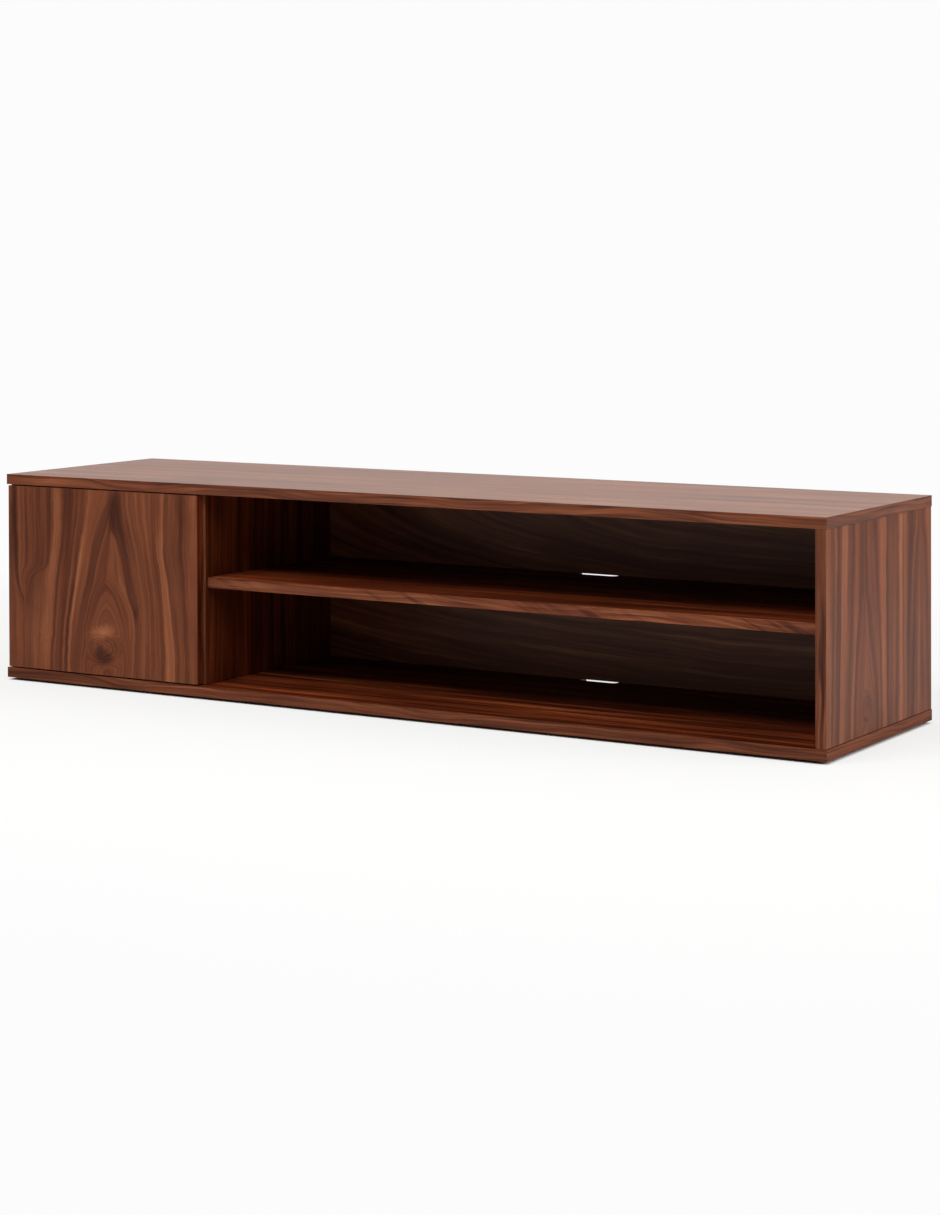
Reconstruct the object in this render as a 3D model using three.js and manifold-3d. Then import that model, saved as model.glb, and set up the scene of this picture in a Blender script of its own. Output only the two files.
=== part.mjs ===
// Low media console in walnut veneer: a door bay at the left, two open bays at the right.
// Millimetres. X runs along the console to the right, Y from the front to the wall, Z up.
// The origin is on the floor, below the middle of the console.

import * as THREE from 'three';
import { mergeVertices } from 'three/addons/utils/BufferGeometryUtils.js';
import Module from 'manifold-3d';

const wasm = await Module();
wasm.setup();

// Case
const caseWidth = 1600;
const caseDepth = 420;
const caseHeight = 366;
const boardThickness = 18;
const boardOverhang = 1;
const doorBayWidth = 394.5;
const lowerBayHeight = 167;
const shelfThickness = 18;
const shelfSetback = 24;

// Back panel and its groove
const backThickness = 6;
const backRecess = 14;
const grooveDepth = 6;

// Cable notches in the shelf and the bottom board, with the port behind them
const notchWidth = 74;
const notchDepth = 12;
const notchRadius = 9;
const notchCentreX = 196;

// Door
const doorThickness = 16;
const doorGap = 2.2;
const doorStandoff = 2.5;
const doorEndInset = 4;
const dividerReveal = 4;

// Knife hinges: one leaf in the door's edge, one in the board, on a pin with a washer
const leafThickness = 3;
const leafWidth = 10;
const leafLength = 60;
const pivotFromEdge = 5.5;
const pivotFromFront = 9;
const pinRadius = 2.5;
const washerRadius = 4.6;

// Push latch on the divider, with its plate on the door
const latchWidth = 16;
const latchHeight = 20;
const latchLength = 64;
const latchSetback = 3.5;
const latchDrop = 70;
const plungerRadius = 4.5;
const plungerLength = 52;
const plungerCollar = 1.2;
const plungerCollarLength = 3;
const plateRadius = 8;
const plateThickness = 1;

// Shelf behind the door, on four pins
const bayShelfThickness = 18;
const bayShelfSetback = 12;
const bayShelfEndGap = 1;
const shelfPinRadius = 2.5;
const shelfPinHold = 8;
const shelfPinReach = 8;
const shelfPinInset = 45;
const shelfPinHeight = 156;
const shelfPinPitch = 32;
const shelfPinSteps = [-1, 0, 1];

// Dowels
const dowelRadius = 4;
const dowelInBoard = 12;
const dowelInPanel = 18;
const dowelInset = 60;
const cleatDowelRadius = 3;
const cleatDowelHalf = 12;

// Wall cleats
const cleatThickness = 12;
const cleatHeight = 58;
const wallCleatHeight = 64;
const wallCleatLength = 1200;
const cleatEndGap = 1;

// Glides
const glideRadius = 11;
const glideHeight = 4.5;
const glideEdge = 1;
const nailRadius = 1.5;
const nailLength = 12;
const glideInsetX = 60;
const glideInsetY = 35;

// Clearances
const seam = 0.2;
const slip = 0.3;
const overrun = 2;
const mergeDistance = 0.0005;

// Facets of a full circle
const roundSides = 24;
const smallSides = 16;

// Levels and planes that the pieces share
const frontY = -caseDepth / 2;
const rearY = caseDepth / 2;
const boardEndX = caseWidth / 2;
const bottomZ = glideHeight;
const floorZ = bottomZ + boardThickness;
const ceilingZ = bottomZ + caseHeight - boardThickness;
const topZ = bottomZ + caseHeight;
const sideOuterX = boardEndX - boardOverhang;
const sideInnerX = sideOuterX - boardThickness;
const dividerLeftX = -sideInnerX + doorBayWidth;
const dividerRightX = dividerLeftX + boardThickness;
const carcassFrontY = frontY + doorThickness + doorStandoff;
const backFrontY = rearY - backRecess - backThickness;
const backRearY = rearY - backRecess;
const shelfBottomZ = floorZ + lowerBayHeight;
const shelfTopZ = shelfBottomZ + shelfThickness;
const shelfFrontY = frontY + shelfSetback;
const doorLeftX = -boardEndX + doorEndInset;
const doorRightX = dividerRightX - dividerReveal;
const doorBottomZ = floorZ + doorGap;
const doorTopZ = ceilingZ - doorGap;
const pivotX = doorLeftX + pivotFromEdge;
const pivotY = frontY + pivotFromFront;

const walnut = { color: 0x6a3a28, roughness: 0.45, metalness: 0 };
const darkWalnut = { color: 0x4c291c, roughness: 0.5, metalness: 0 };
const beech = { color: 0xc8a177, roughness: 0.7, metalness: 0 };
const birch = { color: 0xc9ab80, roughness: 0.7, metalness: 0 };
const brass = { color: 0xa98a4c, roughness: 0.35, metalness: 1 };
const steel = { color: 0xb4b5b6, roughness: 0.35, metalness: 1 };
const greyPlastic = { color: 0x6f7072, roughness: 0.5, metalness: 0 };
const blackPlastic = { color: 0x1b1b1c, roughness: 0.6, metalness: 0 };

const consoleGroup = new THREE.Group();
const caseGroup = new THREE.Group();
const doorGroup = new THREE.Group();
const latchGroup = new THREE.Group();
consoleGroup.add(caseGroup, doorGroup, latchGroup);

function toSolid(geometry) {
  const bare = geometry.clone();
  bare.deleteAttribute('normal');
  bare.deleteAttribute('uv');
  const merged = mergeVertices(bare, mergeDistance);
  return new wasm.Manifold(new wasm.Mesh({
    numProp: 3,
    vertProperties: new Float32Array(merged.attributes.position.array),
    triVerts: new Uint32Array(merged.index.array),
  }));
}

function toGeometry(solid) {
  const mesh = solid.getMesh();
  const geometry = new THREE.BufferGeometry();
  geometry.setAttribute('position', new THREE.BufferAttribute(mesh.vertProperties, mesh.numProp));
  geometry.setIndex(new THREE.BufferAttribute(mesh.triVerts, 1));
  const flat = geometry.toNonIndexed();
  flat.computeVertexNormals();
  return flat;
}

function cut(geometry, tools) {
  let solid = toSolid(geometry);
  for (const tool of tools) {
    solid = solid.subtract(toSolid(tool));
  }
  return toGeometry(solid);
}

// A box from its lowest to its highest corner.
function block(low, high) {
  const size = high.map((value, axis) => value - low[axis]);
  const middle = high.map((value, axis) => (value + low[axis]) / 2);
  return new THREE.BoxGeometry(...size).translate(...middle);
}

// Rods along each axis.
function rodX(radius, fromX, toX, y, z, sides) {
  return new THREE.CylinderGeometry(radius, radius, toX - fromX, sides)
    .rotateZ(Math.PI / 2)
    .translate((fromX + toX) / 2, y, z);
}

function rodY(radius, x, fromY, toY, z, sides) {
  return new THREE.CylinderGeometry(radius, radius, toY - fromY, sides)
    .translate(x, (fromY + toY) / 2, z);
}

function rodZ(radius, x, y, fromZ, toZ, sides) {
  return new THREE.CylinderGeometry(radius, radius, toZ - fromZ, sides)
    .rotateX(Math.PI / 2)
    .translate(x, y, (fromZ + toZ) / 2);
}

// A flat outline in X and Y, raised from one level to another.
function slab(outline, fromZ, toZ) {
  const settings = { depth: toZ - fromZ, bevelEnabled: false, curveSegments: smallSides / 4 };
  return new THREE.ExtrudeGeometry(outline, settings).translate(0, 0, fromZ);
}

// An outline in Y and Z, drawn along X.
function beam(points, fromX, toX) {
  const outline = new THREE.Shape(points.map(([y, z]) => new THREE.Vector2(y, z)));
  const settings = { depth: toX - fromX, bevelEnabled: false };
  return new THREE.ExtrudeGeometry(outline, settings)
    .rotateY(Math.PI / 2)
    .rotateX(Math.PI / 2)
    .translate(fromX, 0, 0);
}

// Adds a piece drawn in the console's own frame as a mesh that stands at its anchor point.
function addPiece(group, name, finish, geometry, anchor) {
  geometry.translate(-anchor[0], -anchor[1], -anchor[2]);
  const mesh = new THREE.Mesh(geometry, new THREE.MeshStandardMaterial({ ...finish }));
  mesh.name = name;
  mesh.position.set(...anchor);
  group.add(mesh);
  return mesh;
}

// Vertical panels between the two long boards
const dividerRearY = backFrontY - seam;
const panels = [
  { name: 'left_side_panel', low: -sideOuterX, high: -sideInnerX, front: carcassFrontY, rear: rearY },
  { name: 'divider_panel', low: dividerLeftX, high: dividerRightX, front: carcassFrontY, rear: dividerRearY },
  { name: 'right_side_panel', low: sideInnerX, high: sideOuterX, front: frontY, rear: rearY },
];
const panelBottomZ = floorZ + seam;
const panelTopZ = ceilingZ - seam;
const dowelYs = [frontY + dowelInset, rearY - dowelInset];
const dowelHoleRadius = dowelRadius + slip;

function panelDowelSpots() {
  const spots = [];
  for (const panel of panels) {
    const x = (panel.low + panel.high) / 2;
    dowelYs.forEach((y, place) => {
      spots.push({ name: `${panel.name}_top_dowel_${place + 1}`, panel, x, y, end: 1, seat: ceilingZ });
      spots.push({ name: `${panel.name}_bottom_dowel_${place + 1}`, panel, x, y, end: -1, seat: floorZ });
    });
  }
  return spots;
}

const dowelSpots = panelDowelSpots();

// The hole that one dowel fills, in both pieces.
function dowelHole(spot) {
  const intoBoard = spot.seat + spot.end * (dowelInBoard + slip);
  const intoPanel = spot.seat - spot.end * (dowelInPanel + slip);
  return rodZ(dowelHoleRadius, spot.x, spot.y, Math.min(intoBoard, intoPanel),
    Math.max(intoBoard, intoPanel), smallSides);
}

// Groove for the back panel in a board or a side, open towards the case.
function grooveCut(low, high) {
  return block([low[0], backFrontY - slip, low[1]], [high[0], backRearY + slip, high[1]]);
}

const grooveEndX = sideInnerX + grooveDepth + slip;
const grooveFloorZ = floorZ - grooveDepth - slip;
const grooveCeilingZ = ceilingZ + grooveDepth + slip;

// Cable notch: a slot from a rounded front edge to behind the rear edge.
function notchOutline(rear) {
  const left = notchCentreX - notchWidth / 2;
  const right = notchCentreX + notchWidth / 2;
  const front = backFrontY - notchDepth;
  const outline = new THREE.Shape();
  outline.moveTo(left, rear);
  outline.lineTo(left, front + notchRadius);
  outline.absarc(left + notchRadius, front + notchRadius, notchRadius, Math.PI, Math.PI * 1.5, false);
  outline.absarc(right - notchRadius, front + notchRadius, notchRadius, Math.PI * 1.5, 0, false);
  outline.lineTo(right, rear);
  return outline;
}

// Hinge leaf: square at the door's end, round at the far end, grown by a margin.
function leafOutline(margin, openEnd) {
  const half = leafWidth / 2 + margin;
  const start = doorLeftX - openEnd;
  const roundX = doorLeftX + leafLength - leafWidth / 2;
  const outline = new THREE.Shape();
  outline.moveTo(start, pivotY - half);
  outline.lineTo(roundX, pivotY - half);
  outline.absarc(roundX, pivotY, half, -Math.PI / 2, Math.PI / 2, false);
  outline.lineTo(start, pivotY + half);
  return outline;
}

// Each hinge by the board it sits in: the side of the gap where the board lies, and the two faces.
const hinges = [
  { name: 'upper_hinge', side: 1, boardFace: ceilingZ, doorFace: doorTopZ },
  { name: 'lower_hinge', side: -1, boardFace: floorZ, doorFace: doorBottomZ },
];

function between(a, b) {
  return [Math.min(a, b), Math.max(a, b)];
}

function caseLeafRecess(hinge) {
  const range = between(hinge.boardFace - hinge.side * overrun,
    hinge.boardFace + hinge.side * (leafThickness + slip));
  return slab(leafOutline(slip, slip), ...range);
}

function doorLeafRecess(hinge) {
  const range = between(hinge.doorFace + hinge.side * overrun,
    hinge.doorFace - hinge.side * (leafThickness + slip));
  return slab(leafOutline(slip, overrun), ...range);
}

// Glides: a disc on a nail under the bottom board
const glideXs = [-boardEndX + glideInsetX, 0, boardEndX - glideInsetX];
const glideYs = [frontY + glideInsetY, rearY - glideInsetY];
const nailHoleRadius = nailRadius + slip;

function glideSpots() {
  return glideYs.flatMap((y) => glideXs.map((x) => ({ x, y })));
}

// Dowels between the cabinet cleat and the top board
const cleatSpan = sideInnerX - cleatEndGap;
const cleatDowelShares = [-0.75, -0.25, 0.25, 0.75];
const cleatFrontY = backRearY + seam;
const cleatRearY = cleatFrontY + cleatThickness;
const cleatTopZ = ceilingZ - seam;
const cleatLowZ = cleatTopZ - cleatHeight;
const cleatDowelY = (cleatFrontY + cleatRearY) / 2;

function cleatDowelHole(share) {
  return rodZ(cleatDowelRadius + slip, share * cleatSpan, cleatDowelY,
    ceilingZ - cleatDowelHalf - slip, ceilingZ + cleatDowelHalf + slip, smallSides);
}

// Top board
const topCuts = [grooveCut([-grooveEndX, ceilingZ - overrun], [grooveEndX, grooveCeilingZ])];
topCuts.push(...dowelSpots.filter((spot) => spot.end > 0).map(dowelHole));
topCuts.push(...cleatDowelShares.map(cleatDowelHole));
topCuts.push(caseLeafRecess(hinges[0]));
addPiece(caseGroup, 'top_board', walnut,
  cut(block([-boardEndX, frontY, ceilingZ], [boardEndX, rearY, topZ]), topCuts), [0, 0, ceilingZ]);

// Bottom board
const bottomCuts = [grooveCut([-grooveEndX, grooveFloorZ], [grooveEndX, floorZ + overrun])];
bottomCuts.push(...dowelSpots.filter((spot) => spot.end < 0).map(dowelHole));
bottomCuts.push(caseLeafRecess(hinges[1]));
bottomCuts.push(slab(notchOutline(rearY + overrun), bottomZ - overrun, floorZ + overrun));
for (const { x, y } of glideSpots()) {
  bottomCuts.push(rodZ(nailHoleRadius, x, y, bottomZ - overrun, bottomZ + nailLength + slip, smallSides));
}
addPiece(caseGroup, 'bottom_board', walnut,
  cut(block([-boardEndX, frontY, bottomZ], [boardEndX, rearY, floorZ]), bottomCuts), [0, 0, bottomZ]);

// Open shelf and the dowels in its ends
const shelfMidZ = (shelfBottomZ + shelfTopZ) / 2;
const shelfLeftX = dividerRightX + seam;
const shelfRightX = sideInnerX - seam;
const shelfRearY = backFrontY - seam;
const shelfDowelYs = [shelfFrontY + dowelInset, shelfRearY - dowelInset];
const shelfDowelSpots = shelfDowelYs.flatMap((y, place) => [
  { name: `shelf_left_dowel_${place + 1}`, y, face: dividerRightX, end: -1 },
  { name: `shelf_right_dowel_${place + 1}`, y, face: sideInnerX, end: 1 },
]);

function shelfDowelRange(spot, extra) {
  const intoShelf = spot.face - spot.end * (dowelInPanel + extra);
  return between(spot.face + spot.end * (dowelInBoard + extra), intoShelf);
}

function shelfDowelHole(spot) {
  return rodX(dowelHoleRadius, ...shelfDowelRange(spot, slip), spot.y, shelfMidZ, smallSides);
}

// Shelf pins behind the door, in the left side and in the divider
const pinYs = [carcassFrontY + shelfPinInset, backFrontY - shelfPinInset];
const pinZ = floorZ + shelfPinHeight;
const pinWalls = [
  { name: 'left', face: -sideInnerX, into: -1 },
  { name: 'divider', face: dividerLeftX, into: 1 },
];

function pinHoles(wall) {
  return pinYs.flatMap((y) => shelfPinSteps.map((step) => {
    const range = between(wall.face - wall.into * overrun, wall.face + wall.into * (shelfPinHold + slip));
    return rodX(shelfPinRadius + slip, ...range, y, pinZ + step * shelfPinPitch, smallSides);
  }));
}

// Vertical panels
const panelCuts = {
  left_side_panel: [
    grooveCut([-grooveEndX, panelBottomZ - overrun], [-sideInnerX + overrun, panelTopZ + overrun]),
    ...pinHoles(pinWalls[0]),
  ],
  divider_panel: [
    ...shelfDowelSpots.filter((spot) => spot.end < 0).map(shelfDowelHole),
    ...pinHoles(pinWalls[1]),
  ],
  right_side_panel: [
    grooveCut([sideInnerX - overrun, panelBottomZ - overrun], [grooveEndX, panelTopZ + overrun]),
    ...shelfDowelSpots.filter((spot) => spot.end > 0).map(shelfDowelHole),
  ],
};
for (const panel of panels) {
  const body = block([panel.low, panel.front, panelBottomZ], [panel.high, panel.rear, panelTopZ]);
  const holes = dowelSpots.filter((spot) => spot.panel === panel).map(dowelHole);
  addPiece(caseGroup, panel.name, walnut, cut(body, [...holes, ...panelCuts[panel.name]]),
    [panel.low, panel.front, panelBottomZ]);
}

// Shelf in the open bay, with its cable notch
addPiece(caseGroup, 'open_shelf', walnut,
  cut(block([shelfLeftX, shelfFrontY, shelfBottomZ], [shelfRightX, shelfRearY, shelfTopZ]), [
    slab(notchOutline(rearY), shelfBottomZ - overrun, shelfTopZ + overrun),
    ...shelfDowelSpots.map(shelfDowelHole),
  ]), [shelfLeftX, shelfFrontY, shelfBottomZ]);

// Back panel in its grooves, open behind both notches
const backLowZ = floorZ - grooveDepth;
const backHighZ = ceilingZ + grooveDepth;
const backEndX = sideInnerX + grooveDepth;
const portLow = notchCentreX - notchWidth / 2;
const portHigh = notchCentreX + notchWidth / 2;
addPiece(caseGroup, 'back_panel', darkWalnut,
  cut(block([-backEndX, backFrontY, backLowZ], [backEndX, backRearY, backHighZ]), [
    block([portLow, backFrontY - overrun, shelfBottomZ], [portHigh, backRearY + overrun, shelfTopZ]),
    block([portLow, backFrontY - overrun, backLowZ - overrun], [portHigh, backRearY + overrun, floorZ]),
  ]), [0, backFrontY, backLowZ]);

// Shelf behind the door
const bayShelfLowZ = pinZ + shelfPinRadius + seam;
addPiece(caseGroup, 'door_bay_shelf', walnut,
  block([-sideInnerX + bayShelfEndGap, carcassFrontY + bayShelfSetback, bayShelfLowZ],
    [dividerLeftX - bayShelfEndGap, backFrontY - seam, bayShelfLowZ + bayShelfThickness]),
  [-sideInnerX, carcassFrontY, bayShelfLowZ]);

for (const wall of pinWalls) {
  pinYs.forEach((y, place) => {
    const range = between(wall.face - wall.into * shelfPinReach, wall.face + wall.into * shelfPinHold);
    addPiece(caseGroup, `shelf_pin_${wall.name}_${place + 1}`, steel,
      rodX(shelfPinRadius, ...range, y, pinZ, smallSides), [wall.face, y, pinZ]);
  });
}

// Wooden dowels
for (const spot of dowelSpots) {
  const range = between(spot.seat + spot.end * dowelInBoard, spot.seat - spot.end * dowelInPanel);
  addPiece(caseGroup, spot.name, beech, rodZ(dowelRadius, spot.x, spot.y, ...range, smallSides),
    [spot.x, spot.y, spot.seat]);
}
for (const spot of shelfDowelSpots) {
  addPiece(caseGroup, spot.name, beech,
    rodX(dowelRadius, ...shelfDowelRange(spot, 0), spot.y, shelfMidZ, smallSides),
    [spot.face, spot.y, shelfMidZ]);
}

// Cabinet cleat, hooked over the wall cleat on a 45 degree edge
addPiece(caseGroup, 'cabinet_cleat', birch, cut(beam([
  [cleatFrontY, cleatTopZ],
  [cleatRearY, cleatTopZ],
  [cleatRearY, cleatLowZ],
  [cleatFrontY, cleatLowZ + cleatThickness],
], -cleatSpan, cleatSpan), cleatDowelShares.map(cleatDowelHole)), [0, cleatFrontY, cleatTopZ]);
cleatDowelShares.forEach((share, place) => {
  addPiece(caseGroup, `cleat_dowel_${place + 1}`, beech,
    rodZ(cleatDowelRadius, share * cleatSpan, cleatDowelY, ceilingZ - cleatDowelHalf,
      ceilingZ + cleatDowelHalf, smallSides), [share * cleatSpan, cleatDowelY, ceilingZ]);
});

const wallCleatFrontY = rearY - cleatThickness;
const hookZ = cleatLowZ - slip * Math.SQRT2;
const wallCleatLowZ = hookZ - wallCleatHeight;
addPiece(caseGroup, 'wall_cleat', birch, beam([
  [wallCleatFrontY, hookZ + cleatRearY - wallCleatFrontY],
  [wallCleatFrontY, wallCleatLowZ],
  [rearY, wallCleatLowZ],
  [rearY, hookZ + cleatRearY - rearY],
], -wallCleatLength / 2, wallCleatLength / 2), [0, rearY, wallCleatLowZ]);

// Glides
glideSpots().forEach(({ x, y }, place) => {
  const profile = [
    [0, 0],
    [glideRadius - glideEdge, 0],
    [glideRadius, glideEdge],
    [glideRadius, glideHeight - seam],
    [nailRadius, glideHeight - seam],
    [nailRadius, glideHeight + nailLength],
    [0, glideHeight + nailLength],
  ].map(([radius, height]) => new THREE.Vector2(radius, height));
  const glide = new THREE.LatheGeometry(profile, smallSides).rotateX(Math.PI / 2).translate(x, y, 0);
  addPiece(caseGroup, `glide_${place + 1}`, blackPlastic, glide, [x, y, 0]);
});

// Door
addPiece(doorGroup, 'door_panel', walnut,
  cut(block([doorLeftX, frontY, doorBottomZ], [doorRightX, frontY + doorThickness, doorTopZ]),
    hinges.map(doorLeafRecess)), [pivotX, pivotY, doorBottomZ]);

// Knife hinges
for (const hinge of hinges) {
  const caseFar = hinge.boardFace + hinge.side * leafThickness;
  const doorFar = hinge.doorFace - hinge.side * leafThickness;
  const pinHole = rodZ(pinRadius + slip, pivotX, pivotY,
    ...between(caseFar + hinge.side * overrun, doorFar - hinge.side * overrun), roundSides);
  const leaf = (a, b) => cut(slab(leafOutline(0, 0), ...between(a, b)), [pinHole]);
  const washerRange = between(hinge.boardFace - hinge.side * slip, hinge.doorFace + hinge.side * slip);
  const washer = cut(rodZ(washerRadius, pivotX, pivotY, ...washerRange, roundSides), [pinHole]);
  addPiece(caseGroup, `${hinge.name}_case_leaf`, brass, leaf(hinge.boardFace, caseFar),
    [pivotX, pivotY, hinge.boardFace]);
  addPiece(caseGroup, `${hinge.name}_pin`, brass,
    rodZ(pinRadius, pivotX, pivotY, ...between(caseFar, doorFar), roundSides),
    [pivotX, pivotY, hinge.boardFace]);
  addPiece(caseGroup, `${hinge.name}_washer`, brass, washer, [pivotX, pivotY, hinge.doorFace]);
  addPiece(doorGroup, `${hinge.name}_door_leaf`, brass, leaf(hinge.doorFace, doorFar),
    [pivotX, pivotY, hinge.doorFace]);
}

// Push latch: a housing on the divider, its plunger, and the plate on the door
const latchX = dividerLeftX - seam - latchWidth / 2;
const latchZ = ceilingZ - latchDrop;
const latchFrontY = carcassFrontY + latchSetback;
const plateRearY = frontY + doorThickness + seam + plateThickness;
const plungerFrontY = plateRearY + slip;
const housing = block([latchX - latchWidth / 2, latchFrontY, latchZ - latchHeight / 2],
  [latchX + latchWidth / 2, latchFrontY + latchLength, latchZ + latchHeight / 2]);
const bore = rodY(plungerRadius + slip, latchX, latchFrontY - overrun, latchFrontY + latchLength - overrun,
  latchZ, roundSides);
addPiece(caseGroup, 'latch_housing', greyPlastic, cut(housing, [bore]), [latchX, latchFrontY, latchZ]);

const plungerProfile = [
  [0, 0],
  [plungerRadius - plungerCollar, 0],
  [plungerRadius - plungerCollar, plungerCollarLength],
  [plungerRadius, plungerCollarLength],
  [plungerRadius, plungerLength],
  [0, plungerLength],
].map(([radius, height]) => new THREE.Vector2(radius, height));
addPiece(latchGroup, 'latch_plunger', blackPlastic,
  new THREE.LatheGeometry(plungerProfile, roundSides).translate(latchX, plungerFrontY, latchZ),
  [latchX, plungerFrontY, latchZ]);
addPiece(doorGroup, 'latch_plate', steel,
  rodY(plateRadius, latchX, plateRearY - plateThickness, plateRearY, latchZ, roundSides),
  [latchX, plateRearY, latchZ]);

export default consoleGroup;
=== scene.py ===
"""A low walnut media console: finishes, fittings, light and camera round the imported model.

The scene is in metres, and the materials and the tables of places are in mm. X runs along
the console to the right, Y from the front to the wall, Z up.
"""

import math
from collections import namedtuple

import bmesh
import bpy
from mathutils import Matrix, Vector


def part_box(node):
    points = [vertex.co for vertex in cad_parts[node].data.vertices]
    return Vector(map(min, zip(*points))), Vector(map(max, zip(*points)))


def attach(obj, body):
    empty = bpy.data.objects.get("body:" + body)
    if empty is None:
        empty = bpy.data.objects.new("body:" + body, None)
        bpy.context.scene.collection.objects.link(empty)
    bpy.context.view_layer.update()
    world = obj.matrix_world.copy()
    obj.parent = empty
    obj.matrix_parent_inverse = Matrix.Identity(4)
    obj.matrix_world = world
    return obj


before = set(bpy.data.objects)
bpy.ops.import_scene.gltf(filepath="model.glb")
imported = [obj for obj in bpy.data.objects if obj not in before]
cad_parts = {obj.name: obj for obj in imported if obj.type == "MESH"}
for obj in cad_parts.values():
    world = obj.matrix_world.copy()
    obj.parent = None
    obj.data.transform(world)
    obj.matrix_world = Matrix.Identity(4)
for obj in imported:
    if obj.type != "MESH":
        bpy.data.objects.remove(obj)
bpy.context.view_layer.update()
scene = bpy.context.scene

X, Y, Z = 0, 1, 2
MM = 1000.0

# A face looks along an axis where its normal's part on that axis is above this
FACING = 0.72


def linear(rgb):
    """A colour from 0 to 255, as the linear colour that a socket takes."""
    out = []
    for value in rgb:
        c = value / 255
        out.append(c / 12.92 if c <= 0.04045 else ((c + 0.055) / 1.055) ** 2.4)
    return (*out, 1.0)


# Noise over a face: rates per mm on its two coordinates, detail and roughness
Grain = namedtuple("Grain", "rate_a rate_b detail roughness")

# Noise through a solid: rates per mm on X, Y and Z, detail and roughness
Texture = namedtuple("Texture", "rates detail roughness")

# An ellipse on a face: its middle, its half width and height, and how much it leans
Spot = namedtuple("Spot", "across height half_across half_height lean", defaults=(0.0,))

# A spot that moves the tone by a strength from 0 to 1 towards a tone of its own
Shade = namedtuple("Shade", "spot strength tone")

# A colour laid over the veneer, such as a stain, a painted reflection and painted shade. Its
# fade is the stretch of X over which it comes in
Overlay = namedtuple("Overlay", "blend strength colour fade", defaults=(None,))


class Graph:
    """Short calls for building a node tree. Inputs are numbers, tuples or output sockets."""

    def __init__(self, tree):
        self.tree = tree

    def add(self, kind, **settings):
        node = self.tree.nodes.new(kind)
        for key, value in settings.items():
            setattr(node, key, value)
        return node

    def feed(self, socket, value):
        if isinstance(value, bpy.types.NodeSocket):
            self.tree.links.new(value, socket)
        elif value is not None:
            socket.default_value = value

    def join(self, kind, *values, **settings):
        """The first output of a new node whose inputs take the values in their order."""
        node = self.add(kind, **settings)
        for socket, value in zip(node.inputs, values):
            self.feed(socket, value)
        return node.outputs[0]

    def math(self, operation, *values):
        return self.join("ShaderNodeMath", *values, operation=operation)

    def plus(self, a, b):
        return self.math("ADD", a, b)

    def minus(self, a, b):
        return self.math("SUBTRACT", a, b)

    def times(self, a, b):
        return self.math("MULTIPLY", a, b)

    def inverse(self, value):
        return self.minus(1.0, value)

    def scaled(self, value, factor, offset):
        return self.math("MULTIPLY_ADD", value, factor, offset)

    def absolute(self, value):
        return self.math("ABSOLUTE", value)

    def above(self, value, limit):
        """1 above the limit and 0 below it."""
        return self.math("GREATER_THAN", value, limit)

    def vector(self, x, y, z):
        return self.join("ShaderNodeCombineXYZ", x, y, z)

    def split(self, vector):
        node = self.add("ShaderNodeSeparateXYZ")
        self.feed(node.inputs[0], vector)
        return list(node.outputs)

    def object_mm(self):
        """The object's own coordinates in mm, and its normal, as three sockets each."""
        where = self.add("ShaderNodeTexCoord")
        scale = self.add("ShaderNodeVectorMath", operation="SCALE")
        self.feed(scale.inputs[0], where.outputs["Object"])
        scale.inputs["Scale"].default_value = MM
        return self.split(scale.outputs[0]), self.split(where.outputs["Normal"])

    def facing(self, normal_part):
        """1 on the faces that look along an axis, either way."""
        return self.above(self.absolute(normal_part), FACING)

    def noise(self, point, detail, roughness):
        node = self.add("ShaderNodeTexNoise")
        self.feed(node.inputs["Vector"], point)
        node.inputs["Scale"].default_value = 1.0
        node.inputs["Detail"].default_value = detail
        node.inputs["Roughness"].default_value = roughness
        return node.outputs["Fac"]

    def centred(self, noise):
        """Noise that wavers round 0 instead of a half."""
        return self.minus(noise, 0.5)

    def face_noise(self, a, b, grain, seed):
        point = self.vector(self.times(a, grain.rate_a), self.times(b, grain.rate_b), seed)
        return self.noise(point, grain.detail, grain.roughness)

    def solid_noise(self, place, texture):
        point = self.vector(*(self.times(at, rate) for at, rate in zip(place, texture.rates)))
        return self.noise(point, texture.detail, texture.roughness)

    def mix(self, factor, a, b):
        """a where the factor is 0, b where it is 1."""
        return self.join("ShaderNodeMix", factor, None, a, b, data_type="FLOAT")

    def toned(self, tone, where, strength, target):
        """The tone, moved by the strength towards the target where the factor is 1."""
        return self.mix(self.times(where, strength), tone, target)

    def mix_colour(self, factor, a, b, blend="MIX"):
        node = self.add("ShaderNodeMix", data_type="RGBA", blend_type=blend)
        self.feed(node.inputs[0], factor)
        self.feed(node.inputs[6], a)
        self.feed(node.inputs[7], b)
        return node.outputs[2]

    def ramp(self, value, stops):
        """A colour ramp through (position, colour) stops."""
        node = self.add("ShaderNodeValToRGB")
        self.feed(node.inputs[0], value)
        elements = node.color_ramp.elements
        while len(elements) < len(stops):
            elements.new(0.5)
        for element, (position, colour) in zip(elements, stops):
            element.position = position
            element.color = linear(colour)
        return node.outputs[0]

    def step(self, value, low, high):
        """A smooth step from 0 at low to 1 at high."""
        kind = "SMOOTHSTEP"
        return self.join("ShaderNodeMapRange", value, low, high, interpolation_type=kind)

    def rescaled(self, value, low, high, width):
        """0 at low and the width at high, held beyond both."""
        return self.join("ShaderNodeMapRange", value, low, high, 0.0, width)

    def finish(self, kind, surface):
        self.feed(self.add(kind).inputs["Surface"], surface)


def new_material(name):
    material = bpy.data.materials.new(name)
    material.use_nodes = True
    material.node_tree.nodes.clear()
    return material


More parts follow.
